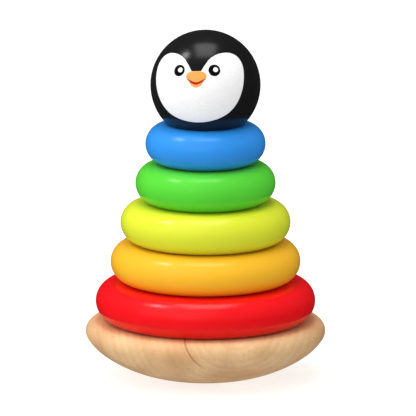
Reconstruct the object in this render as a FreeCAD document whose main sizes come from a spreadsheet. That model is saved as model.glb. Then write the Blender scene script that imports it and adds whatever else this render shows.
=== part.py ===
import FreeCAD, Part
import math
import os

import Sketcher
from FreeCAD import Vector

# Stacking ring toy: a round-bottomed wooden base, a glued and screwed peg, five painted rings
# and a ball head. Millimetres, +Z up, the origin at the centre of the foot.

# Driving dimensions, kept in the sheet under these names.
DIMENSIONS = {
    "base_diameter": 120.0,
    "base_height": 28.2,
    "rim_radius": 5.5,
    "shoulder_radius": 27.0,
    "belly_radius": 68.0,
    "foot_diameter": 26.0,
    "socket_depth": 15.0,
    "socket_chamfer": 0.8,
    "peg_diameter": 14.0,
    "peg_above_rings": 22.0,
    "peg_dome_radius": 5.0,
    "peg_chamfer": 1.2,
    "ring_thickness": 20.0,
    "ring_bore_diameter": 17.0,
    "ring_bore_rounding": 2.0,
    "ring_count": 5.0,
    "red_diameter": 110.0,
    "orange_diameter": 95.0,
    "yellow_diameter": 85.0,
    "green_diameter": 70.0,
    "blue_diameter": 60.0,
    "head_diameter": 55.0,
    "head_center_height": 19.8,
    "head_edge_rounding": 1.0,
    "head_bore_diameter": 16.0,
    "head_bore_depth": 26.0,
    "head_bore_chamfer": 1.5,
    "counterbore_diameter": 9.0,
    "counterbore_depth": 4.0,
    "screw_length": 30.0,
    "screw_diameter": 3.5,
    "screw_head_diameter": 8.0,
    "screw_head_edge": 0.4,
    "screw_tip_length": 4.0,
    "screw_clearance_diameter": 4.0,
    "recess_width": 0.9,
    "recess_span": 4.6,
    "recess_depth": 1.8,
}

RING_COLORS = ["red", "orange", "yellow", "green", "blue"]  # from the base upwards

doc = FreeCAD.newDocument("StackingRingToy")
sheet = doc.addObject("Spreadsheet::Sheet", "Sizes")
for row, (alias, value) in enumerate(DIMENSIONS.items(), start=1):
    sheet.set(f"A{row}", alias)
    sheet.set(f"B{row}", str(value))
    sheet.setAlias(f"B{row}", alias)
doc.recompute()


def size(alias):
    return float(getattr(sheet, alias))


# Shared steps of the sub-parts.


def new_body(name):
    body = doc.addObject("PartDesign::Body", name)
    body.Label = name
    return body


def origin_plane(body, role):
    return next(item for item in body.Origin.OriginFeatures if item.Role == role)


def new_sketch(body, name, role):
    sketch = body.newObject("Sketcher::SketchObject", name)
    sketch.AttachmentSupport = [(origin_plane(body, role), "")]
    sketch.MapMode = "FlatFace"
    return sketch


def line(sketch, start, end):
    return sketch.addGeometry(Part.LineSegment(Vector(*start, 0), Vector(*end, 0)), False)


def arc(sketch, center, radius, start_angle, end_angle):
    circle = Part.Circle(Vector(*center, 0), Vector(0, 0, 1), radius)
    return sketch.addGeometry(Part.ArcOfCircle(circle, start_angle, end_angle), False)


def bind(sketch, name, expression, kind, *where):
    """Adds a named dimension to a sketch and ties it to the sheet."""
    index = sketch.addConstraint(Sketcher.Constraint(kind, *where, measured(sketch, kind, where)))
    sketch.renameConstraint(index, name)
    sketch.setExpression(f"Constraints.{name}", expression)


def measured(sketch, kind, where):
    """The drawn value of a dimension, so that the solver starts from the drawn shape."""
    if kind in ("Radius", "Diameter"):
        radius = sketch.Geometry[where[0]].Radius
        return radius if kind == "Radius" else 2 * radius
    first = sketch.getPoint(where[0], where[1])
    second = sketch.getPoint(where[2], where[3])
    return second.x - first.x if kind == "DistanceX" else second.y - first.y


def join(sketch, kind, *where):
    sketch.addConstraint(Sketcher.Constraint(kind, *where))


START, END, CENTER = 1, 2, 3  # a sketch edge's points
ORIGIN = (-1, 1)
VERTICAL_AXIS = -2


def revolve(body, sketch, name):
    feature = body.newObject("PartDesign::Revolution", name)
    feature.Profile = sketch
    feature.ReferenceAxis = (sketch, ["V_Axis"])
    feature.Angle = 360
    doc.recompute()
    return feature


def cut_groove(body, sketch, name):
    before = body.Shape.Volume
    feature = body.newObject("PartDesign::Groove", name)
    feature.Profile = sketch
    feature.ReferenceAxis = (sketch, ["V_Axis"])
    feature.Angle = 360
    doc.recompute()
    if body.Shape.Volume > before - 1:
        raise RuntimeError(f"{name} cut nothing")
    return feature


def circle_sketch(body, name, diameter_expression, height_expression="0"):
    """A circle about the Z axis in a level plane of the body."""
    sketch = new_sketch(body, name, "XY_Plane")
    sketch.addGeometry(Part.Circle(Vector(0, 0, 0), Vector(0, 0, 1), 5), False)
    join(sketch, "Coincident", 0, CENTER, *ORIGIN)
    bind(sketch, "diameter", diameter_expression, "Diameter", 0)
    sketch.setExpression("AttachmentOffset.Base.z", height_expression)
    return sketch


def cut_pocket(body, sketch, name, depth_expression, upward):
    before = body.Shape.Volume
    feature = body.newObject("PartDesign::Pocket", name)
    feature.Profile = sketch
    feature.Type = "Length"
    feature.Reversed = upward
    feature.setExpression("Length", depth_expression)
    doc.recompute()
    if body.Shape.Volume > before - 1:
        raise RuntimeError(f"{name} cut nothing")
    return feature


def round_edges(feature, radius, heights):
    """Names of a feature's circular edges of one radius about Z, at the given heights."""
    names = []
    for number, edge in enumerate(feature.Shape.Edges, start=1):
        if edge.Degenerated:
            continue  # a ball's pole
        curve = edge.Curve
        if not isinstance(curve, Part.Circle) or abs(curve.Radius - radius) > 1e-4:
            continue
        if min(abs(curve.Center.z - height) for height in heights) < 1e-4:
            names.append(f"Edge{number}")
    if len(names) != len(heights):
        raise RuntimeError(f"{feature.Name}: found {len(names)} edges of radius {radius}")
    return names


def dress(body, kind, name, base, edges, size_name, expression):
    """A Fillet or Chamfer on some edges of the feature before it."""
    feature = body.newObject(f"PartDesign::{kind}", name)
    feature.Base = (base, edges)
    feature.setExpression(size_name, expression)
    doc.recompute()
    return feature


# Rocking base: a turned disc with a round rim, a curved underside and a small flat foot.


def draw_base_profile(sketch):
    rim, shoulder, belly = size("rim_radius"), size("shoulder_radius"), size("belly_radius")
    top, foot = size("base_height"), size("foot_diameter") / 2
    rim_center = Vector(size("base_diameter") / 2 - rim, top - rim, 0)
    belly_center = Vector(foot, belly, 0)
    # The shoulder arc touches the other two from inside, so its centre is a circle crossing.
    to_rim, to_belly = shoulder - rim, belly - shoulder
    span = (rim_center - belly_center).Length
    along = (to_belly**2 - to_rim**2 + span**2) / (2 * span)
    across = math.sqrt(to_belly**2 - along**2)
    way = (rim_center - belly_center) / span
    shoulder_center = belly_center + way * along + Vector(way.y, -way.x, 0) * across

    def angle_of(tip, tail):
        return math.atan2(tip.y - tail.y, tip.x - tail.x)

    belly_end = angle_of(shoulder_center, belly_center)
    shoulder_end = angle_of(rim_center, shoulder_center)
    foot_line = line(sketch, (0, 0), (foot, 0))
    belly_arc = arc(sketch, (belly_center.x, belly_center.y), belly, -math.pi / 2, belly_end)
    shoulder_arc = arc(
        sketch, (shoulder_center.x, shoulder_center.y), shoulder, belly_end, shoulder_end
    )
    rim_arc = arc(sketch, (rim_center.x, rim_center.y), rim, shoulder_end, math.pi / 2)
    top_line = line(sketch, (rim_center.x, top), (0, top))
    axis_line = line(sketch, (0, top), (0, 0))
    join(sketch, "Coincident", foot_line, START, *ORIGIN)
    join(sketch, "Horizontal", foot_line)
    join(sketch, "Tangent", foot_line, END, belly_arc, START)
    join(sketch, "Tangent", belly_arc, END, shoulder_arc, START)
    join(sketch, "Tangent", shoulder_arc, END, rim_arc, START)
    join(sketch, "Tangent", rim_arc, END, top_line, START)
    join(sketch, "Horizontal", top_line)
    join(sketch, "Coincident", top_line, END, axis_line, START)
    join(sketch, "Coincident", axis_line, END, foot_line, START)
    join(sketch, "Vertical", axis_line)
    bind(sketch, "foot_radius", "Sizes.foot_diameter / 2", "DistanceX", *ORIGIN, foot_line, END)
    bind(sketch, "belly", "Sizes.belly_radius", "Radius", belly_arc)
    bind(sketch, "shoulder", "Sizes.shoulder_radius", "Radius", shoulder_arc)
    bind(sketch, "rim", "Sizes.rim_radius", "Radius", rim_arc)
    bind(
        sketch,
        "rim_reach",
        "Sizes.base_diameter / 2 - Sizes.rim_radius",
        "DistanceX",
        *ORIGIN,
        rim_arc,
        CENTER,
    )
    bind(sketch, "base_top", "Sizes.base_height", "DistanceY", *ORIGIN, top_line, END)


def draw_screw_well(sketch):
    """Half section of the hole under the base: counterbore, countersink and shank hole."""
    bore = size("counterbore_diameter") / 2
    floor = size("counterbore_depth")
    sink = size("screw_head_diameter") / 2
    shank = size("screw_clearance_diameter") / 2
    edge = floor + size("screw_head_edge")
    cone_top = edge + sink - shank
    top = size("base_height") - size("socket_depth")
    corners = [
        (0, 0),
        (bore, 0),
        (bore, floor),
        (sink, floor),
        (sink, edge),
        (shank, cone_top),
        (shank, top),
        (0, top),
    ]
    closed_outline(sketch, corners)
    join(sketch, "Angle", 4, START, 3, END, math.radians(135))
    bind(sketch, "bore_radius", "Sizes.counterbore_diameter / 2", "DistanceX", *ORIGIN, 1, START)
    bind(sketch, "bore_depth", "Sizes.counterbore_depth", "DistanceY", *ORIGIN, 1, END)
    bind(sketch, "sink_radius", "Sizes.screw_head_diameter / 2", "DistanceX", *ORIGIN, 3, START)
    bind(sketch, "sink_edge", "Sizes.screw_head_edge", "DistanceY", 3, START, 3, END)
    bind(
        sketch, "shank_radius", "Sizes.screw_clearance_diameter / 2", "DistanceX", *ORIGIN, 5, START
    )
    bind(
        sketch,
        "well_top",
        "Sizes.base_height - Sizes.socket_depth",
        "DistanceY",
        *ORIGIN,
        5,
        END,
    )


def closed_outline(sketch, corners):
    """Straight edges through the corners, the first at the origin and the last on the axis."""
    count = len(corners)
    for number, corner in enumerate(corners):
        line(sketch, corner, corners[(number + 1) % count])
    for number, corner in enumerate(corners):
        following = corners[(number + 1) % count]
        join(sketch, "Coincident", number, END, (number + 1) % count, START)
        if corner[0] == following[0]:
            join(sketch, "Vertical", number)
        elif corner[1] == following[1]:
            join(sketch, "Horizontal", number)
    join(sketch, "Coincident", 0, START, *ORIGIN)


def make_base():
    body = new_body("rocking_base")
    profile = new_sketch(body, "BaseProfile", "XZ_Plane")
    draw_base_profile(profile)
    revolve(body, profile, "BaseTurning")
    socket = circle_sketch(body, "SocketCircle", "Sizes.peg_diameter", "Sizes.base_height")
    cut = cut_pocket(body, socket, "PegSocket", "Sizes.socket_depth", upward=False)
    mouth = round_edges(cut, size("peg_diameter") / 2, [size("base_height")])
    dress(body, "Chamfer", "SocketMouth", cut, mouth, "Size", "Sizes.socket_chamfer")
    well = new_sketch(body, "ScrewWellProfile", "XZ_Plane")
    draw_screw_well(well)
    cut_groove(body, well, "ScrewWell")
    return body


# Peg: a straight dowel with a domed top, a chamfered foot and a pilot hole for the screw.


def make_peg():
    body = new_body("peg")
    circle = circle_sketch(body, "PegCircle", "Sizes.peg_diameter")
    dowel = body.newObject("PartDesign::Pad", "Dowel")
    dowel.Profile = circle
    length = "Sizes.socket_depth + Sizes.ring_count * Sizes.ring_thickness + Sizes.peg_above_rings"
    dowel.setExpression("Length", length)
    doc.recompute()
    radius = size("peg_diameter") / 2
    tip = round_edges(dowel, radius, [dowel.Length.Value])
    dome = dress(body, "Fillet", "PegDome", dowel, tip, "Radius", "Sizes.peg_dome_radius")
    foot = round_edges(dome, radius, [0])
    dress(body, "Chamfer", "PegFoot", dome, foot, "Size", "Sizes.peg_chamfer")
    pilot = circle_sketch(body, "PilotCircle", "Sizes.screw_diameter")
    reach = "Sizes.counterbore_depth + Sizes.screw_length - (Sizes.base_height - Sizes.socket_depth)"
    cut_pocket(body, pilot, "PilotHole", reach, upward=True)
    body.setExpression("Placement.Base.z", "Sizes.base_height - Sizes.socket_depth")
    return body


# Wood screw: a countersunk head with a cross recess, its face looking down the well.


def draw_screw_profile(sketch):
    head = size("screw_head_diameter") / 2
    shank = size("screw_diameter") / 2
    edge = size("screw_head_edge")
    neck = edge + head - shank
    length = size("screw_length")
    tip = length - size("screw_tip_length")
    corners = [(0, 0), (head, 0), (head, edge), (shank, neck), (shank, tip), (0, length)]
    closed_outline(sketch, corners)
    join(sketch, "Angle", 2, START, 1, END, math.radians(135))
    bind(sketch, "head_radius", "Sizes.screw_head_diameter / 2", "DistanceX", *ORIGIN, 1, START)
    bind(sketch, "head_edge", "Sizes.screw_head_edge", "DistanceY", 1, START, 1, END)
    bind(sketch, "shank_radius", "Sizes.screw_diameter / 2", "DistanceX", *ORIGIN, 3, START)
    bind(sketch, "tip_length", "Sizes.screw_tip_length", "DistanceY", 4, START, 4, END)
    bind(sketch, "screw_length", "Sizes.screw_length", "DistanceY", *ORIGIN, 4, END)


def draw_recess_slot(sketch):
    half_span, half_width = size("recess_span") / 2, size("recess_width") / 2
    corners = [
        (-half_span, -half_width),
        (half_span, -half_width),
        (half_span, half_width),
        (-half_span, half_width),
    ]
    for number, corner in enumerate(corners):
        line(sketch, corner, corners[(number + 1) % 4])
    for number in range(4):
        join(sketch, "Coincident", number, END, (number + 1) % 4, START)
        join(sketch, "Vertical" if number % 2 else "Horizontal", number)
    join(sketch, "Symmetric", 0, START, 1, END, *ORIGIN)
    bind(sketch, "span", "Sizes.recess_span", "DistanceX", 0, START, 0, END)
    bind(sketch, "width", "Sizes.recess_width", "DistanceY", 1, START, 1, END)


def make_screw():
    body = new_body("peg_screw")
    profile = new_sketch(body, "ScrewProfile", "XZ_Plane")
    draw_screw_profile(profile)
    revolve(body, profile, "ScrewTurning")
    slot = new_sketch(body, "RecessSlot", "XY_Plane")
    draw_recess_slot(slot)
    cut = cut_pocket(body, slot, "Recess", "Sizes.recess_depth", upward=True)
    cross = body.newObject("PartDesign::PolarPattern", "CrossRecess")
    cross.Originals = [cut]
    cross.Axis = (slot, ["N_Axis"])
    cross.Angle = 90
    cross.Occurrences = 2
    body.Tip = cross
    body.setExpression("Placement.Base.z", "Sizes.counterbore_depth")
    return body


# Rings: flat faces above and below, a full round outside and an eased bore.


def draw_ring_profile(sketch, diameter_alias):
    thickness, bore = size("ring_thickness"), size("ring_bore_diameter") / 2
    reach = size(diameter_alias) / 2 - thickness / 2
    under = line(sketch, (bore, 0), (reach, 0))
    outside = arc(sketch, (reach, thickness / 2), thickness / 2, -math.pi / 2, math.pi / 2)
    upper = line(sketch, (reach, thickness), (bore, thickness))
    wall = line(sketch, (bore, thickness), (bore, 0))
    join(sketch, "Coincident", wall, END, under, START)
    join(sketch, "Coincident", upper, END, wall, START)
    join(sketch, "Tangent", under, END, outside, START)
    join(sketch, "Tangent", outside, END, upper, START)
    join(sketch, "Horizontal", under)
    join(sketch, "Horizontal", upper)
    join(sketch, "Vertical", wall)
    bind(sketch, "bore_radius", "Sizes.ring_bore_diameter / 2", "DistanceX", *ORIGIN, under, START)
    bind(sketch, "underside", "0", "DistanceY", *ORIGIN, under, START)
    bind(
        sketch,
        "round_reach",
        f"(Sizes.{diameter_alias} - Sizes.ring_thickness) / 2",
        "DistanceX",
        *ORIGIN,
        outside,
        CENTER,
    )
    bind(sketch, "thickness", "Sizes.ring_thickness", "DistanceY", wall, END, wall, START)


def make_ring(color, place_in_stack):
    body = new_body(f"ring_{color}")
    title = color.capitalize()
    profile = new_sketch(body, f"{title}Profile", "XZ_Plane")
    draw_ring_profile(profile, f"{color}_diameter")
    turning = revolve(body, profile, f"{title}Turning")
    mouths = [0, size("ring_thickness")]
    edges = round_edges(turning, size("ring_bore_diameter") / 2, mouths)
    easing = "Sizes.ring_bore_rounding"
    dress(body, "Fillet", f"{title}BoreEasing", turning, edges, "Radius", easing)
    seat = f"Sizes.base_height + {place_in_stack} * Sizes.ring_thickness"
    body.setExpression("Placement.Base.z", seat)
    return body


# Head: a ball cut flat where it sits, with a blind bore that drops over the peg's end.


def draw_head_profile(sketch):
    radius, center = size("head_diameter") / 2, size("head_center_height")
    flat = math.sqrt(radius**2 - center**2)
    under = line(sketch, (0, 0), (flat, 0))
    ball = arc(sketch, (0, center), radius, math.atan2(-center, flat), math.pi / 2)
    axis_line = line(sketch, (0, center + radius), (0, 0))
    join(sketch, "Coincident", under, START, *ORIGIN)
    join(sketch, "Horizontal", under)
    join(sketch, "Coincident", under, END, ball, START)
    join(sketch, "PointOnObject", ball, CENTER, VERTICAL_AXIS)
    join(sketch, "Coincident", ball, END, axis_line, START)
    join(sketch, "Coincident", axis_line, END, *ORIGIN)
    join(sketch, "Vertical", axis_line)
    bind(sketch, "ball", "Sizes.head_diameter / 2", "Radius", ball)
    bind(sketch, "center_height", "Sizes.head_center_height", "DistanceY", *ORIGIN, ball, CENTER)


def make_head():
    body = new_body("penguin_head")
    profile = new_sketch(body, "HeadProfile", "XZ_Plane")
    draw_head_profile(profile)
    turning = revolve(body, profile, "HeadTurning")
    flat = math.sqrt((size("head_diameter") / 2) ** 2 - size("head_center_height") ** 2)
    rim = round_edges(turning, flat, [0])
    rounding = "Sizes.head_edge_rounding"
    dress(body, "Fillet", "HeadEdge", turning, rim, "Radius", rounding)
    circle = circle_sketch(body, "HeadBoreCircle", "Sizes.head_bore_diameter")
    bore = cut_pocket(body, circle, "HeadBore", "Sizes.head_bore_depth", upward=True)
    mouth = round_edges(bore, size("head_bore_diameter") / 2, [0])
    dress(body, "Chamfer", "HeadBoreMouth", bore, mouth, "Size", "Sizes.head_bore_chamfer")
    seat = "Sizes.base_height + Sizes.ring_count * Sizes.ring_thickness"
    body.setExpression("Placement.Base.z", seat)
    return body


bodies = [make_base(), make_peg(), make_screw()]
for place_in_stack, color in enumerate(RING_COLORS):
    bodies.append(make_ring(color, place_in_stack))
bodies.append(make_head())
doc.recompute()

for item in doc.Objects:
    if {"Invalid", "Error"} & set(item.State):
        raise RuntimeError(f"{item.Label} did not recompute: {item.State}")
    if item.TypeId == "Sketcher::SketchObject" and item.solve() != 0:
        raise RuntimeError(f"{item.Label} has conflicting constraints")
for body in bodies:
    if body.Shape.isNull() or not body.Shape.isValid():
        raise RuntimeError(f"{body.Label} has no valid shape")

os.makedirs("parts", exist_ok=True)
for body in bodies:
    body.Shape.exportStep(f"parts/{body.Label}.step")
    print(f"{body.Label}: {body.Shape.Volume / 1000:.1f} cm3, {len(body.Shape.Solids)} solid")
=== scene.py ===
from math import atan2, cos, degrees, hypot, pi, radians, sin, sqrt

import bmesh
import bpy
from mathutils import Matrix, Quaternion, Vector


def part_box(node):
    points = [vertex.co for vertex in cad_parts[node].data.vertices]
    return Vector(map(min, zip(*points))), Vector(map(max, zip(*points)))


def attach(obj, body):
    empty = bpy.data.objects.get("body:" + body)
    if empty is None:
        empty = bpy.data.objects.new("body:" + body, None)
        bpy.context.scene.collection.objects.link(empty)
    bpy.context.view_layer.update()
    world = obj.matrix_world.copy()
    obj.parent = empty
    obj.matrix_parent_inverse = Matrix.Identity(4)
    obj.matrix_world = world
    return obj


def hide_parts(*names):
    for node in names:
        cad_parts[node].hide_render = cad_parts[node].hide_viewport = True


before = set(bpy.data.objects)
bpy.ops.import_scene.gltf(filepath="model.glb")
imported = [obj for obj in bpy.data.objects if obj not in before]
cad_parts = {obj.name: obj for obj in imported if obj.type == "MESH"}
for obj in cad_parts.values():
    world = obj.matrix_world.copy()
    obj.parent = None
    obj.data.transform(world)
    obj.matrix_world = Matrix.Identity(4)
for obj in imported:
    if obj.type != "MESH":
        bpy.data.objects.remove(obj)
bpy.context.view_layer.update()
mm = 0.001
print("frame loaded:", ", ".join(sorted(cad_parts)))


# Shader sums

class Wire:  # a node's output that can be used in plain Python sums
    def __init__(self, wiring, socket):
        self.wiring = wiring
        self.socket = socket

    def math(self, operation, *values):
        places = dict(enumerate(values))
        return self.wiring.node("Math", {"operation": operation}, places)

    def __add__(self, other):
        return self.math("ADD", self, other)

    def __sub__(self, other):
        return self.math("SUBTRACT", self, other)

    def __mul__(self, other):
        return self.math("MULTIPLY", self, other)

    def __truediv__(self, other):
        return self.math("DIVIDE", self, other)

    def __pow__(self, other):
        return self.math("POWER", self, other)

    def __abs__(self):
        return self.math("ABSOLUTE", self)

    def __radd__(self, other):
        return self.math("ADD", other, self)

    def __rsub__(self, other):
        return self.math("SUBTRACT", other, self)

    def __rmul__(self, other):
        return self.math("MULTIPLY", other, self)

    def __rtruediv__(self, other):
        return self.math("DIVIDE", other, self)

    def __rpow__(self, other):
        return self.math("POWER", other, self)

    def step(self, low, high):  # 0 below low, 1 above high, smooth between
        settings = {"interpolation_type": "SMOOTHSTEP"}
        ends = {"Value": self, "From Min": low, "From Max": high}
        return self.wiring.node("MapRange", settings, ends)


class Wiring:  # a node tree
    def __init__(self, tree):
        self.tree = tree

    def node(self, kind, settings=None, values=None, output=0):
        made = self.tree.nodes.new("ShaderNode" + kind)
        for setting, value in (settings or {}).items():
            setattr(made, setting, value)
        for place, value in (values or {}).items():
            self.feed(made.inputs[place], value)
        return None if output is None else Wire(self, made.outputs[output])

    def feed(self, socket, value):
        if isinstance(value, Wire):
            self.tree.links.new(value.socket, socket)
        else:
            socket.default_value = value

    def parts(self, vector):
        split = self.node("SeparateXYZ", {}, {0: vector})
        return [Wire(self, socket) for socket in split.socket.node.outputs]

    def blend(self, amount, under, over):
        return self.node("Mix", {"data_type": "RGBA"}, {0: amount, 6: under, 7: over}, output=2)

    def place(self, shift=(0, 0, 0), turn=(0, 0, 0)):
        here = self.node("TexCoord", output=3)
        moves = {"Vector": here, "Location": shift, "Rotation": turn}
        return self.node("Mapping", {"vector_type": "POINT"}, moves)

    def drawnOut(self, where, times):  # a pattern read from here is that much longer along Y
        places = {0: where, 1: (1, 1 / times, 1)}
        return self.node("VectorMath", {"operation": "MULTIPLY"}, places)

    def noise(self, where, scale, detail=2.0, roughness=0.5):
        values = {"Vector": where, "Scale": scale, "Detail": detail, "Roughness": roughness}
        return self.node("TexNoise", {"noise_dimensions": "3D"}, values)


class Finish(Wiring):  # a material, its nodes and its surface
    def __init__(self, name, **surface):
        self.material = bpy.data.materials.new(name)
        self.material.use_nodes = True
        super().__init__(self.material.node_tree)
        self.surface = self.tree.nodes["Principled BSDF"]
        for place, value in surface.items():
            self.surface.inputs[place.replace("_", " ")].default_value = value

    def paint(self, place, value):
        self.feed(self.surface.inputs[place], value)

    def bump(self, height, depth):  # depth in metres for a height of 1
        self.paint("Normal", self.node("Bump", {}, {"Height": height, "Distance": depth}))


def tone(red, green, blue):  # a display colour, 0 to 255, as the shader's linear one
    def linear(value):
        value = value / 255
        return value / 12.92 if value <= 0.04045 else ((value + 0.055) / 1.055) ** 2.4

    return (linear(red), linear(green), linear(blue), 1.0)


# Stage: pale floor, soft lights, camera

stage = {
    "floorRadius": 9.0,
    "floorTone": (0.42, 0.42, 0.42, 1),
    "floorGlow": 0.7,
    "floorScale": 3.0,
    "floorRoughness": 0.85,
    "skyLight": 0.95,
    "horizonLight": 0.4,
    "groundLight": 1.02,
    "leftLight": 0.15,
    "skySpan": (-0.1, 0.2),
    "glossLight": 0.02,
    "key": {"azimuth": -87, "elevation": 58, "size": (0.24, 0.2), "power": 1.8},
    "top": {"azimuth": 0, "elevation": 89, "size": (0.64, 0.72), "power": 3.9},
    "fill": {"azimuth": -37, "elevation": 38, "size": (1.6, 1.2), "power": 6.8},
    "lightDistance": 1.2,
    "cameraDistance": 5.0,
    "cameraHeight": 85.2 * mm,
    "cameraElevation": 11.88,
    "cameraSide": 1.25 * mm,
    "focalLength": 865.6,
    "sensorWidth": 36,
    "farClip": 40,
}


def makeFloor():
    shape = bmesh.new()
    bmesh.ops.create_circle(shape, cap_ends=True, radius=stage["floorRadius"], segments=64)
    floor = meshObject("floor", shape)
    finish = Finish(
        "pale floor",
        Base_Color=stage["floorTone"],
        Emission_Color=(1, 1, 1, 1),
        Emission_Strength=stage["floorGlow"],
    )
    mottle = finish.noise(finish.place(), stage["floorScale"])
    finish.paint("Roughness", mottle * 0.1 + stage["floorRoughness"])
    floor.data.materials.append(finish.material)
    floor.visible_glossy = floor.visible_diffuse = floor.visible_shadow = False


def makeLight(name, seen=True):
    values = stage[name]
    lamp = bpy.data.lights.new(name + " softbox", "AREA")
    lamp.shape = "RECTANGLE"
    lamp.size, lamp.size_y = values["size"]
    lamp.energy = values["power"]
    light = bpy.data.objects.new(name + " softbox", lamp)
    bpy.context.scene.collection.objects.link(light)
    around, above = radians(values["azimuth"]), radians(values["elevation"])
    away = Vector((sin(around) * cos(above), -cos(around) * cos(above), sin(above)))
    light.location = Vector((0, 0, stage["cameraHeight"])) + away * stage["lightDistance"]
    light.rotation_euler = away.to_track_quat("Z", "Y").to_euler()
    light.visible_camera = False
    light.visible_glossy = seen


def makeStudio():
    makeLight("key")
    makeLight("top")
    makeLight("fill", seen=False)
    world = bpy.data.worlds.new("studio")
    bpy.context.scene.world = world
    world.use_nodes = True
    world.node_tree.nodes.clear()
    room = Wiring(world.node_tree)
    sideways, _, upward = room.parts(room.node("TexCoord"))
    rise = stage["skyLight"] - stage["horizonLight"]
    drop = stage["groundLight"] - stage["horizonLight"]
    level = stage["horizonLight"] - sideways * stage["leftLight"]
    overhead, underfoot = upward.step(*stage["skySpan"]), (0 - upward).step(0, 1)
    soft = overhead * rise + underfoot * drop + level
    glossy = room.node("LightPath", output="Is Glossy Ray")
    seen = room.node("LightPath", output="Is Camera Ray")
    lit = soft + glossy * (stage["glossLight"] - soft)
    strength = lit + seen * (1 - lit)
    backdrop = room.node("Background", {}, {"Color": (1, 1, 1, 1), "Strength": strength})
    room.node("OutputWorld", {}, {"Surface": backdrop}, output=None)
    bpy.context.scene.view_settings.view_transform = "Standard"


def makeCamera():
    lens = bpy.data.cameras.new("camera")
    lens.lens = stage["focalLength"]
    lens.sensor_width = stage["sensorWidth"]
    lens.clip_end = stage["farClip"]
    camera = bpy.data.objects.new("camera", lens)
    bpy.context.scene.collection.objects.link(camera)
    tilt = radians(stage["cameraElevation"])
    away = Vector((0, -cos(tilt), sin(tilt)))
    aim = Vector((stage["cameraSide"], 0, stage["cameraHeight"]))
    camera.location = aim + away * stage["cameraDistance"]
    camera.rotation_euler = away.to_track_quat("Z", "Y").to_euler()
    bpy.context.scene.camera = camera


# Mesh steps shared by the pieces

def meshObject(name, shape, softBelow=30):
    for face in shape.faces:
        face.smooth = True
    for edge in shape.edges:
        edge.smooth = edge.is_manifold and edge.calc_face_angle() < radians(softBelow)
    mesh = bpy.data.meshes.new(name)
    shape.to_mesh(mesh)
    shape.free()
    piece = bpy.data.objects.new(name, mesh)
    bpy.context.scene.collection.objects.link(piece)
    return piece


def roundCorner(center, radius, startAngle, endAngle, steps):  # an arc in half section
    points = []
    for step in range(steps + 1):
        angle = radians(startAngle + (endAngle - startAngle) * step / steps)
        points.append((center[0] + radius * cos(angle), center[1] + radius * sin(angle)))
    return points


def turned(name, outline, closed, turns=160):  # (radius, height) points spun about the peg's axis
    shape = bmesh.new()
    corners = [shape.verts.new((radius, 0, height)) for radius, height in outline]
    pairs = list(zip(corners, corners[1:]))
    if closed:
        pairs.append((corners[-1], corners[0]))
    edges = [shape.edges.new(pair) for pair in pairs]
    bmesh.ops.spin(
        shape,
        geom=corners + edges,
        cent=(0, 0, 0),
        axis=(0, 0, 1),
        angle=2 * pi,
        steps=turns,
        use_merge=True,
    )
    bmesh.ops.remove_doubles(shape, verts=shape.verts, dist=0.001 * mm)
    bmesh.ops.recalc_face_normals(shape, faces=shape.faces)
    return meshObject(name, shape)


def finishPiece(piece, finish, body, slot, *nodes):
    piece.data.materials.append(finish.material)
    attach(piece, body)
    if nodes:
        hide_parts(*nodes)


# Wood and lacquer

woodLook = {
    "lateTone": tone(158, 104, 62),
    "fleckTone": tone(190, 140, 92),
    "ringSpacing": 3.6 * mm,
    "ringWaver": 7.0 * mm,
    "waverScale": 12,
    "ringStrength": 0.13,
    "lateSpan": (0.1, 0.85),
    "yearEnd": (0.9, 1),
    "cloudScale": 28,
    "cloudSpan": (0.3, 0.7),
    "bandScale": 60,
    "bandSpan": (0.35, 0.75),
    "bandStrength": 0.35,
    "fibreLength": 30,
    "fibreScale": 800,
    "fibreSpan": (0.45, 0.8),
    "fibreStrength": 0.3,
    "poreScale": 2400,
    "poreSpan": (0.62, 0.72),
    "poreStrength": 0.2,
    "scarFollow": 0.8,
    "scarFadeScale": 60,
    "scarFadeSpan": (0.35, 0.6),
    "roughness": 0.4,
    "roughnessRange": 0.16,
    "reliefDepth": 0.03 * mm,
}


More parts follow.
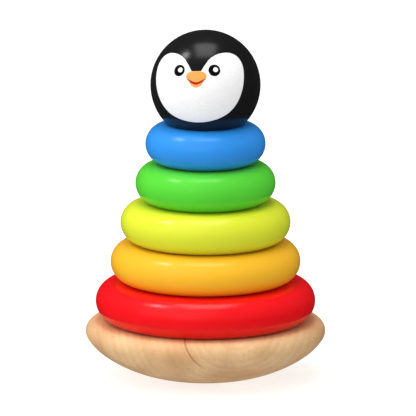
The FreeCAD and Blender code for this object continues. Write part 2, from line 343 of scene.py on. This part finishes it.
def bareWood(name, look):  # the tree's axis runs along Y after the turn, through the pith
    finish = Finish(name, IOR=1.45)
    where = finish.place(look["pith"], look["turn"])
    along = finish.drawnOut(where, woodLook["fibreLength"])
    across, _, height = finish.parts(where)
    drift = (finish.noise(where, woodLook["waverScale"]) - 0.5) * woodLook["ringWaver"]
    reach = (across * across + height * height) ** 0.5 + drift
    years = reach / woodLook["ringSpacing"]
    whole = years.math("FLOOR", years)
    season = years - whole
    strong = finish.node("TexWhiteNoise", {"noise_dimensions": "1D"}, {"W": whole}) * 0.8 + 0.2
    late = season.step(*woodLook["lateSpan"]) * (1 - season.step(*woodLook["yearEnd"])) * strong
    fibre = finish.noise(along, woodLook["fibreScale"], 3, 0.6)
    pores = finish.noise(along, woodLook["poreScale"], 1).step(*woodLook["poreSpan"])
    clouds = finish.noise(where, woodLook["cloudScale"], 3).step(*woodLook["cloudSpan"])
    bands = finish.noise(along, woodLook["bandScale"]).step(*woodLook["bandSpan"])
    color = finish.blend(clouds, look["pale"], look["warm"])
    for mask, strength, darker in (
        (bands, woodLook["bandStrength"], woodLook["fleckTone"]),
        (late, woodLook["ringStrength"], woodLook["lateTone"]),
        (fibre.step(*woodLook["fibreSpan"]), woodLook["fibreStrength"], woodLook["fleckTone"]),
        (pores, woodLook["poreStrength"], woodLook["lateTone"]),
    ):
        color = finish.blend(mask * strength, color, darker)
    if "scarReach" in look:  # one darker growth line that fades as it goes round
        gap = abs(reach - drift * woodLook["scarFollow"] - look["scarReach"])
        patchy = finish.noise(where, woodLook["scarFadeScale"], 1).step(*woodLook["scarFadeSpan"])
        scar = (1 - gap.step(0, look["scarWidth"])) * patchy * across.step(*look["scarSpan"])
        color = finish.blend(scar * look["scarStrength"], color, woodLook["lateTone"])
    finish.paint("Base Color", color)
    finish.paint("Roughness", fibre * woodLook["roughnessRange"] + woodLook["roughness"])
    finish.bump(fibre * 0.6 - pores * 0.8 - late * 0.3, woodLook["reliefDepth"])
    return finish


lacquerLook = {
    "roughness": 0.24,
    "grainScale": 700,
    "grainLength": 20,
    "grainDepth": 0.009 * mm,
    "rippleScale": 160,
    "rippleDepth": 0.009 * mm,
    "cloudScale": 30,
    "cloudSpan": (0.25, 0.8),
    "cloudStrength": 0.5,
    "cloudTone": 0.88,
    "scuffScale": 420,
    "scuffSpan": (0.6, 0.8),
}


def deepened(color, share):
    return [channel * share for channel in color[:3]] + [1]


def lacquer(name, color, turnAngle=0.0, roughness=lacquerLook["roughness"]):
    finish = Finish(name, IOR=1.45)
    where = finish.place(turn=(0, 0, turnAngle))
    along = finish.drawnOut(where, lacquerLook["grainLength"])
    grain = finish.noise(along, lacquerLook["grainScale"])  # the wood under the paint
    ripple = finish.noise(where, lacquerLook["rippleScale"])
    scuffs = finish.noise(where, lacquerLook["scuffScale"], 4, 0.7).step(*lacquerLook["scuffSpan"])
    cloud = finish.noise(where, lacquerLook["cloudScale"]).step(*lacquerLook["cloudSpan"])
    shade = cloud * lacquerLook["cloudStrength"]
    deeper = deepened(color, lacquerLook["cloudTone"])
    finish.paint("Base Color", finish.blend(shade, color, deeper))
    finish.paint("Roughness", ripple * 0.08 + scuffs * 0.06 + (roughness - 0.04))
    relief = grain * lacquerLook["grainDepth"] + ripple * lacquerLook["rippleDepth"]
    finish.bump(relief, 1)  # the relief is in metres already
    return finish


# Rocking base

baseLook = {
    "rimRadius": 5.5 * mm,
    "shoulderRadius": 27 * mm,
    "bellyRadius": 68 * mm,
    "footRadius": 13 * mm,
    "socketRadius": 7 * mm,
    "socketDepth": 15 * mm,
    "socketChamfer": 0.8 * mm,
    "wellRadius": 4.5 * mm,
    "wellDepth": 4 * mm,
    "sinkRadius": 4 * mm,
    "sinkEdge": 0.4 * mm,
    "shankRadius": 2 * mm,
    "pith": (-16.5 * mm, 0, -39 * mm),
    "turn": (0, 0, 0),
    "pale": tone(240, 198, 146),
    "warm": tone(220, 168, 116),
    "supportLoop": 1 * mm,
    "wellEasing": 0.2 * mm,
    "rimSteps": 26,
    "shoulderSteps": 12,
    "bellySteps": 28,
    "turns": 200,
    "scarReach": 29 * mm,
    "scarWidth": 0.8 * mm,
    "scarStrength": 0.8,
    "scarSpan": (-9 * mm, -25 * mm),
}


def makeBase():
    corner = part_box("rocking_base")[1]
    radius, top = corner.x, corner.z
    rim, shoulder = baseLook["rimRadius"], baseLook["shoulderRadius"]
    belly, foot = baseLook["bellyRadius"], baseLook["footRadius"]
    rimCenter = Vector((radius - rim, top - rim))
    bellyCenter = Vector((foot, belly))
    # the shoulder's centre lies where it touches both the rim's arc and the belly's
    toRim, toBelly = shoulder - rim, belly - shoulder
    span = (rimCenter - bellyCenter).length
    along = (toBelly**2 - toRim**2 + span**2) / (2 * span)
    way = (rimCenter - bellyCenter) / span
    across = sqrt(toBelly**2 - along**2)
    shoulderCenter = bellyCenter + way * along + Vector((way.y, -way.x)) * across
    lean = rimCenter - shoulderCenter
    swell = shoulderCenter - bellyCenter
    rimEnd = degrees(atan2(lean.y, lean.x))
    bellyEnd = degrees(atan2(swell.y, swell.x))
    socket, floor = baseLook["socketRadius"], top - baseLook["socketDepth"]
    chamfer, well = baseLook["socketChamfer"], baseLook["wellRadius"]
    sink, shank = baseLook["sinkRadius"], baseLook["shankRadius"]
    depth = baseLook["wellDepth"]
    neck = depth + baseLook["sinkEdge"] + sink - shank
    outline = [(shank, floor), (socket, floor), (socket, top - chamfer), (socket + chamfer, top)]
    outline += [(radius * 0.4, top), (rimCenter.x - baseLook["supportLoop"], top)]
    outline += roundCorner(rimCenter, rim, 90, rimEnd, baseLook["rimSteps"])
    outline += roundCorner(shoulderCenter, shoulder, rimEnd, bellyEnd, baseLook["shoulderSteps"])[1:]
    outline += roundCorner(bellyCenter, belly, bellyEnd, -90, baseLook["bellySteps"])[1:]
    outline += [(well + baseLook["wellEasing"], 0), (well, baseLook["wellEasing"])]
    outline += [(well, depth), (sink, depth), (sink, depth + baseLook["sinkEdge"]), (shank, neck)]
    base = turned("rocking_base_turned", outline, closed=True, turns=baseLook["turns"])
    finishPiece(base, bareWood("beech base", baseLook), "base", "base_wood", "rocking_base")


# Peg and its screw

pegLook = {
    "dome": 5 * mm,
    "chamfer": 1.2 * mm,
    "pilotRadius": 1.75 * mm,
    "pilotDepth": 20.8 * mm,
    "domeSteps": 14,
    "turns": 64,
    "pith": (30 * mm, 0, 20 * mm),
    "turn": (pi / 2, 0, 0),
    "pale": tone(240, 214, 172),
    "warm": tone(226, 190, 145),
}


def makePeg():
    low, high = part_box("peg")
    radius, dome, chamfer = high.x, pegLook["dome"], pegLook["chamfer"]
    pilot, pilotTop = pegLook["pilotRadius"], low.z + pegLook["pilotDepth"]
    outline = [(0, pilotTop), (pilot, pilotTop), (pilot, low.z), (radius - chamfer, low.z)]
    outline += [(radius, low.z + chamfer)]
    outline += roundCorner((radius - dome, high.z - dome), dome, 0, 90, pegLook["domeSteps"])
    outline += [(0, high.z)]
    peg = turned("peg_dowel", outline, closed=False, turns=pegLook["turns"])
    finishPiece(peg, bareWood("birch dowel", pegLook), "base", "peg_wood", "peg")


screwLook = {
    "bright": tone(196, 198, 196),
    "dull": tone(168, 170, 164),
    "spangleScale": 700,
    "spangleDepth": 0.01 * mm,
    "roughness": 0.22,
}


def finishScrew():
    finish = Finish("zinc steel", Metallic=1.0)
    spangle = finish.noise(finish.place(), screwLook["spangleScale"], 4, 0.6)
    shade = spangle.step(0.3, 0.7)
    finish.paint("Base Color", finish.blend(shade, screwLook["bright"], screwLook["dull"]))
    finish.paint("Roughness", spangle * 0.25 + screwLook["roughness"])
    finish.bump(spangle, screwLook["spangleDepth"])
    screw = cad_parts["peg_screw"]
    screw.data.materials.clear()
    screw.data.materials.append(finish.material)


# Painted rings

ringLook = {
    "boreRadius": 8.5 * mm,
    "boreEasing": 2 * mm,
    "supportLoops": (1 * mm, 0.6 * mm),
    "edgeSteps": 44,
    "boreSteps": 8,
    "turns": 180,
    "grainTurn": 0.7,
    "red": tone(246, 4, 18),
    "orange": tone(250, 188, 40),
    "yellow": tone(222, 230, 50),
    "green": tone(88, 214, 56),
    "blue": tone(46, 146, 234),
}


def makeRing(color, turnAngle):
    low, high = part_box(f"ring_{color}")
    edge = (high.z - low.z) / 2
    reach, middle = high.x - edge, (high.z + low.z) / 2
    ease, steps = ringLook["boreEasing"], ringLook["boreSteps"]
    mouth = ringLook["boreRadius"] + ease
    inner, outer = mouth + ringLook["supportLoops"][0], reach - ringLook["supportLoops"][1]
    outline = [(inner, low.z), (outer, low.z)]
    outline += roundCorner((reach, middle), edge, -90, 90, ringLook["edgeSteps"])
    outline += [(outer, high.z), (inner, high.z)]
    outline += roundCorner((mouth, high.z - ease), ease, 90, 180, steps)
    outline += roundCorner((mouth, low.z + ease), ease, 180, 270, steps)
    ring = turned(f"ring_{color}_turned", outline, closed=True, turns=ringLook["turns"])
    paint = lacquer(f"{color} lacquer", ringLook[color], turnAngle)
    finishPiece(ring, paint, color, f"{color}_lacquer", f"ring_{color}")


# Head: ball and painted face

headLook = {
    "centerHeight": 19.8 * mm,
    "edge": 1.0 * mm,
    "boreRadius": 8 * mm,
    "boreDepth": 26 * mm,
    "boreChamfer": 1.5 * mm,
    "supportLoop": 0.5 * mm,
    "edgeSteps": 5,
    "ballSteps": 72,
    "turns": 180,
    "black": tone(24, 24, 25),
    "roughness": 0.24,
    "grainTurn": 0.4,
}


def headBall():  # the ball's centre and radius
    low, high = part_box("penguin_head")
    return Vector((0, 0, low.z + headLook["centerHeight"])), high.x


def makeHead():
    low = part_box("penguin_head")[0]
    center, radius = headBall()
    bore, chamfer, edge = headLook["boreRadius"], headLook["boreChamfer"], headLook["edge"]
    boreTop = low.z + headLook["boreDepth"]
    # the small rounding touches the flat underside and the ball from inside
    drop = center.z - low.z - edge
    roundReach = sqrt((radius - edge) ** 2 - drop**2)
    meet = -degrees(atan2(drop, roundReach))
    outline = [(0, boreTop), (bore, boreTop), (bore, low.z + chamfer), (bore + chamfer, low.z)]
    outline += [(roundReach - headLook["supportLoop"], low.z)]
    outline += roundCorner((roundReach, low.z + edge), edge, -90, meet, headLook["edgeSteps"])
    outline += roundCorner((0, center.z), radius, meet, 90, headLook["ballSteps"])[1:]
    head = turned("head_ball", outline, closed=False, turns=headLook["turns"])
    look = headLook["black"], headLook["grainTurn"], headLook["roughness"]
    paint = lacquer("black lacquer", *look)
    finishPiece(head, paint, "head", "black_lacquer", "penguin_head")


# Places on the face are in degrees on the ball, across and up from the face's middle,
# and each outline runs down one side of it.
faceLook = {
    "turn": -9.5,
    "roll": 2.1,
    "sink": 0.3 * mm,
    "rimSoftness": 0.5,
    "patch": [
        (5.2, 25.2),
        (9.4, 32.1),
        (14.9, 39.2),
        (22.5, 44.2),
        (32.0, 46.9),
        (41.5, 46.2),
        (49.5, 41.3),
        (54.0, 32.5),
        (55.0, 22.5),
        (53.2, 9.0),
        (49.4, -2.8),
        (43.2, -13.9),
        (34.0, -22.9),
        (23.2, -28.1),
        (11.0, -30.9),
        (0.0, -31.7),
    ],
    "patchHeight": 0.1 * mm,
    "patchRings": 26,
    "patchSteps": 8,
    "eyePlace": (19.35, 25.9),
    "eyeRadius": 6.25,
    "eyeHeight": 0.16 * mm,
    "eyeRings": 5,
    "eyePoints": 56,
    "glintShift": (1.3, 0.55),
    "glintRadius": 2.65,
    "glintHeight": 0.21 * mm,
    "glintRings": 3,
    "upperBeak": [
        (0.0, 25.2),
        (5.6, 24.8),
        (9.3, 23.0),
        (11.0, 19.7),
        (10.0, 17.4),
        (6.5, 15.6),
        (0.0, 13.4),
    ],
    "upperBeakHeight": 0.24 * mm,
    "mouth": [(0.0, 18.0), (7.0, 18.2), (10.3, 17.4), (6.2, 13.4), (0.0, 11.0)],
    "mouthHeight": 0.2 * mm,
    "lowerBeak": [(0.0, 16.0), (5.0, 15.6), (7.1, 13.2), (4.3, 9.7), (0.0, 8.0)],
    "lowerBeakHeight": 0.16 * mm,
    "beakRings": 5,
    "beakSteps": 6,
}


def smoothCurve(points, steps, closed):  # a curve that passes through its points
    if closed:
        ends = [points[-1], *points, points[0], points[1]]
    else:
        ends = [points[0], *points, points[-1]]
    curve = []
    for corners in zip(ends, ends[1:], ends[2:], ends[3:]):
        a, b, c, d = map(Vector, corners)
        for step in range(steps):
            t = step / steps
            bend = (c - a) * t + (2 * a - 5 * b + 4 * c - d) * t**2 + (3 * b - a - 3 * c + d) * t**3
            curve.append(b + bend / 2)
    return curve if closed else curve + [Vector(points[-1])]


def bothSides(half, steps, closed):  # a closed outline's half starts and ends on the middle line
    other = [(-across, up) for across, up in reversed(half[closed:-1])]
    return smoothCurve(half + other, steps, closed)


def circleOutline(radius):
    count = faceLook["eyePoints"]
    angles = [2 * pi * step / count for step in range(count)]
    return [Vector((radius * sin(angle), radius * cos(angle))) for angle in angles]


def ballFrame(across, up):  # the face's right, up and outward directions at a place on it
    facing = Quaternion((0, 0, 1), radians(faceLook["turn"]))
    outward = facing @ Vector((0, -1, 0))
    roll = Quaternion(outward, radians(faceLook["roll"]))
    right = roll @ facing @ Vector((1, 0, 0))
    upward = roll @ Vector((0, 0, 1))
    reach = hypot(across, up)
    if reach < 1e-6:
        return right, upward, outward
    hinge = (right * up - upward * across).normalized()
    swing = Quaternion(hinge, radians(reach))
    if (swing @ outward).dot(right * across + upward * up) < 0:
        swing = Quaternion(hinge, radians(-reach))
    return swing @ right, swing @ upward, swing @ outward


def paintLayer(name, place, outline, height, finish, slot, rings, middle=(0, 0)):
    center, radius = headBall()
    right, upward, outward = ballFrame(*place)
    shape = bmesh.new()
    made = bmesh.ops.create_circle(shape, cap_ends=False, radius=1, segments=len(outline))
    middle = Vector(middle)
    for vertex, point in zip(made["verts"], outline):
        vertex.co = (point - middle).to_3d()
    edges = shape.edges[:]
    for ring in range(rings, 0, -1):
        grown = bmesh.ops.extrude_edge_only(shape, edges=edges)["geom"]
        inner = [item for item in grown if isinstance(item, bmesh.types.BMVert)]
        edges = [item for item in grown if isinstance(item, bmesh.types.BMEdge)]
        bmesh.ops.scale(shape, vec=Vector((1, 1, 1)) * (ring - 1) / ring, verts=inner)
    bmesh.ops.remove_doubles(shape, verts=shape.verts, dist=1e-4)
    lid = bmesh.ops.extrude_face_region(shape, geom=shape.faces[:], use_keep_orig=True)["geom"]
    top = {item for item in lid if isinstance(item, bmesh.types.BMVert)}
    for vertex in shape.verts:
        spot = vertex.co.xy + middle
        reach = radians(spot.length)
        aside = right * spot.x + upward * spot.y
        way = outward if reach == 0 else outward * cos(reach) + aside.normalized() * sin(reach)
        level = radius + height if vertex in top else radius - faceLook["sink"]
        vertex.co = center + way * level
    bmesh.ops.recalc_face_normals(shape, faces=shape.faces)
    rim = [
        edge
        for edge in shape.edges
        if edge.verts[0] in top and edge.verts[1] in top and edge.calc_face_angle() > radians(60)
    ]
    bmesh.ops.bevel(
        shape,
        geom=rim,
        offset=height * faceLook["rimSoftness"],
        offset_type="OFFSET",
        affect="EDGES",
        segments=2,
        profile=0.5,
        material=-1,
    )
    layer = meshObject(name, shape, softBelow=50)
    finishPiece(layer, finish, "head", slot)


paintLook = {
    "white": tone(250, 250, 250),
    "black": tone(5, 5, 5),
    "orange": tone(250, 168, 80),
    "red": tone(186, 8, 0),
    "cloudScale": 60,
    "cloudSpan": (0.35, 0.75),
    "cloudStrength": 0.4,
    "cloudTone": 0.92,
    "fineScale": 900,
    "fineDepth": 0.004 * mm,
    "roughness": 0.22,
    "roughnessRange": 0.1,
    "coat": 0.3,
    "coatRoughness": 0.15,
}


def facePaint(name, color, clouding=1):
    coat = {"Coat_Weight": paintLook["coat"], "Coat_Roughness": paintLook["coatRoughness"]}
    finish = Finish(name, IOR=1.45, **coat)
    where = finish.place()
    fine = finish.noise(where, paintLook["fineScale"])
    cloud = finish.noise(where, paintLook["cloudScale"]).step(*paintLook["cloudSpan"])
    shade = cloud * (paintLook["cloudStrength"] * clouding)
    deeper = deepened(color, paintLook["cloudTone"])
    finish.paint("Base Color", finish.blend(shade, color, deeper))
    finish.paint("Roughness", fine * paintLook["roughnessRange"] + paintLook["roughness"])
    finish.bump(fine, paintLook["fineDepth"])
    return finish


def makeFace():
    white = facePaint("white face paint", paintLook["white"])
    black = facePaint("black eye paint", paintLook["black"])
    beak = facePaint("orange beak paint", paintLook["orange"], clouding=2)
    red = facePaint("dark red mouth paint", paintLook["red"])
    height = faceLook["patchHeight"]
    patch, rings = bothSides(faceLook["patch"], faceLook["patchSteps"], False), faceLook["patchRings"]
    paintLayer("face_patch", (0, 0), patch, height, white, "white_paint", rings)
    across, up = faceLook["eyePlace"]
    shiftAcross, shiftUp = faceLook["glintShift"]
    for side, sign in (("left", -1), ("right", 1)):
        spot, outline = (sign * across, up), circleOutline(faceLook["eyeRadius"])
        height, rings = faceLook["eyeHeight"], faceLook["eyeRings"]
        paintLayer(f"eye_{side}", spot, outline, height, black, "eye_paint", rings)
        spot, outline = (spot[0] + shiftAcross, up + shiftUp), circleOutline(faceLook["glintRadius"])
        height, rings = faceLook["glintHeight"], faceLook["glintRings"]
        paintLayer(f"eye_glint_{side}", spot, outline, height, white, "white_paint", rings)
    for name, part, paint, slot in (
        ("beak_upper", "upperBeak", beak, "beak_paint"),
        ("mouth", "mouth", red, "mouth_paint"),
        ("beak_lower", "lowerBeak", beak, "beak_paint"),
    ):
        half, height = faceLook[part], faceLook[part + "Height"]
        middle = (0, (half[0][1] + half[-1][1]) / 2)
        outline = bothSides(half, faceLook["beakSteps"], True)
        paintLayer(name, (0, 0), outline, height, paint, slot, faceLook["beakRings"], middle)


makeFloor()
makeStudio()
makeCamera()
print("stage ready")
makeBase()
makePeg()
finishScrew()
print("base, peg and screw made")
for place, color in enumerate(["red", "orange", "yellow", "green", "blue"]):
    makeRing(color, ringLook["grainTurn"] * place)
print("rings made")
makeHead()
makeFace()
print("head and face made")
